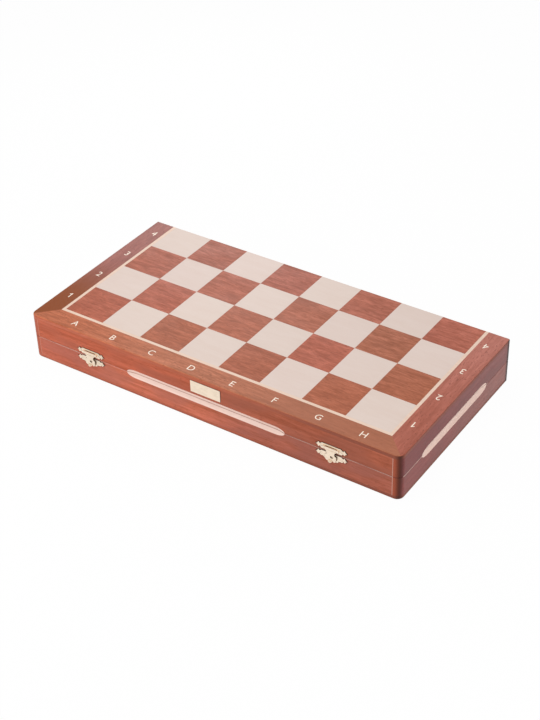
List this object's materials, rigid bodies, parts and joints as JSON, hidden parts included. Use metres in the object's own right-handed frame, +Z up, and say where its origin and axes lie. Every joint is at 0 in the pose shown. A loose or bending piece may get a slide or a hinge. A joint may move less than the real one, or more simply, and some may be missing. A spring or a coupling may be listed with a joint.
{
  "type": "folding chess set with case",
  "caption": "Folding wooden chess board case with inlaid squares, box latches, butt hinges and fitted trays that hold the chessmen.",
  "frame": {"origin": "under the middle of the closed case with its latches and hinge knuckles, on the face it stands on", "axes": "+Z up, +X along the case to the right as seen from the latches, -Y towards the latches, +Y towards the fold"},
  "size_m": [0.527, 0.2686, 0.0623],
  "materials": {
    "mahogany_veneer": "satin lacquered veneer",
    "maple_veneer": "satin lacquered veneer",
    "mahogany_rail": "stained and satin lacquered",
    "plywood": "stained edge",
    "brass": "pale brushed brass plate",
    "flocked_foam": "matt flock",
    "felt": "matt felt",
    "boxwood": "polished",
    "ebonised_wood": "polished",
    "steel": "turned"
  },
  "bodies": {
    "lower_case": {"hinge_left_lower_leaf": "brass", "hinge_left_pin": "brass", "hinge_right_lower_leaf": "brass", "hinge_right_pin": "brass", "hinge_screws_lower": "brass", "latch_left_catch_plate": "brass", "latch_nails_lower": "brass", "latch_right_catch_plate": "brass", "lower_back_rail": "mahogany_rail", "lower_board_panel": "plywood", "lower_border_front": "mahogany_veneer", "lower_border_left": "mahogany_veneer", "lower_border_right": "mahogany_veneer", "lower_dark_squares": "mahogany_veneer", "lower_front_rail": "mahogany_rail", "lower_left_rail": "mahogany_rail", "lower_light_squares": "maple_veneer", "lower_right_rail": "mahogany_rail", "lower_stringing": "maple_veneer", "lower_tray": "flocked_foam", "white_base_felts": "felt", "white_base_weights": "steel", "white_bishops": "boxwood", "white_king": "boxwood", "white_knights": "boxwood", "white_pawns": "boxwood", "white_queen": "boxwood", "white_rooks": "boxwood"},
    "upper_case": {"black_base_felts": "felt", "black_base_weights": "steel", "black_bishops": "ebonised_wood", "black_king": "ebonised_wood", "black_knights": "ebonised_wood", "black_pawns": "ebonised_wood", "black_queen": "ebonised_wood", "black_rooks": "ebonised_wood", "hinge_left_upper_leaf": "brass", "hinge_right_upper_leaf": "brass", "hinge_screws_upper": "brass", "latch_left_pin": "brass", "latch_left_upper_plate": "brass", "latch_nails_upper": "brass", "latch_right_pin": "brass", "latch_right_upper_plate": "brass", "name_plate": "brass", "upper_back_rail": "mahogany_rail", "upper_board_panel": "plywood", "upper_border_front": "mahogany_veneer", "upper_border_left": "mahogany_veneer", "upper_border_right": "mahogany_veneer", "upper_dark_squares": "mahogany_veneer", "upper_front_rail": "mahogany_rail", "upper_left_rail": "mahogany_rail", "upper_light_squares": "maple_veneer", "upper_right_rail": "mahogany_rail", "upper_stringing": "maple_veneer", "upper_tray": "flocked_foam"},
    "left_hasp": {"latch_left_hasp": "brass"},
    "right_hasp": {"latch_right_hasp": "brass"}
  },
  "joints": [
    {"name": "case_fold", "type": "hinge", "parent": "lower_case", "child": "upper_case", "pos_m": [0, 0.13211, 0.03115], "axis": [-1, 0, 0], "range_deg": [0, 180]},
    {"name": "left_latch_swing", "type": "hinge", "parent": "upper_case", "child": "left_hasp", "pos_m": [-0.1695, -0.13054, 0.03795], "axis": [-1, 0, 0], "range_deg": [0, 165]},
    {"name": "right_latch_swing", "type": "hinge", "parent": "upper_case", "child": "right_hasp", "pos_m": [0.1755, -0.13054, 0.03795], "axis": [-1, 0, 0], "range_deg": [0, 165]}
  ]
}
